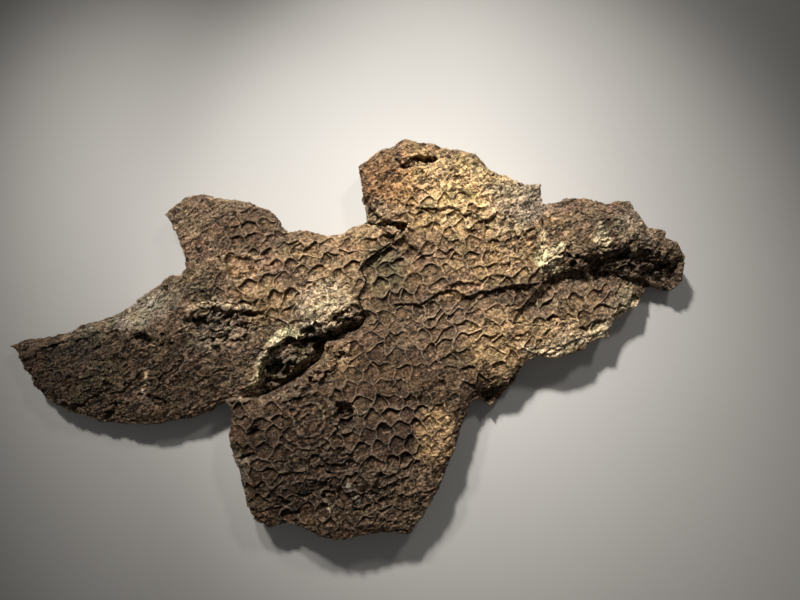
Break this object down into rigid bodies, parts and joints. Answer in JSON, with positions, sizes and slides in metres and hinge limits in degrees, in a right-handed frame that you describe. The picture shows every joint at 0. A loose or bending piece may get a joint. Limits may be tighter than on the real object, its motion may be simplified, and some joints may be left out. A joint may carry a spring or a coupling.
{
  "type": "fossil skin impression",
  "caption": "Irregular broken slab of brown sandstone with a natural mould of large polygonal dinosaur scales, in fitted blocks on a flat back.",
  "frame": {"origin": "middle of the slab's bounding box, on its flat back", "axes": "+X along the slab's length, +Y across it towards the tall lobe, +Z out of the skin face"},
  "size_m": [1.6908, 0.994, 0.1242],
  "materials": {
    "left_stone": "rough broken sandstone, pinkish brown to dark grey-brown",
    "centre_stone": "rough sandstone, golden tan above and dark brown below",
    "right_stone": "rough sandstone, grey-brown with yellow patches"
  },
  "bodies": {
    "root": {"left_block": "left_stone", "centre_block": "centre_stone", "right_block": "right_stone"}
  },
  "joints": []
}
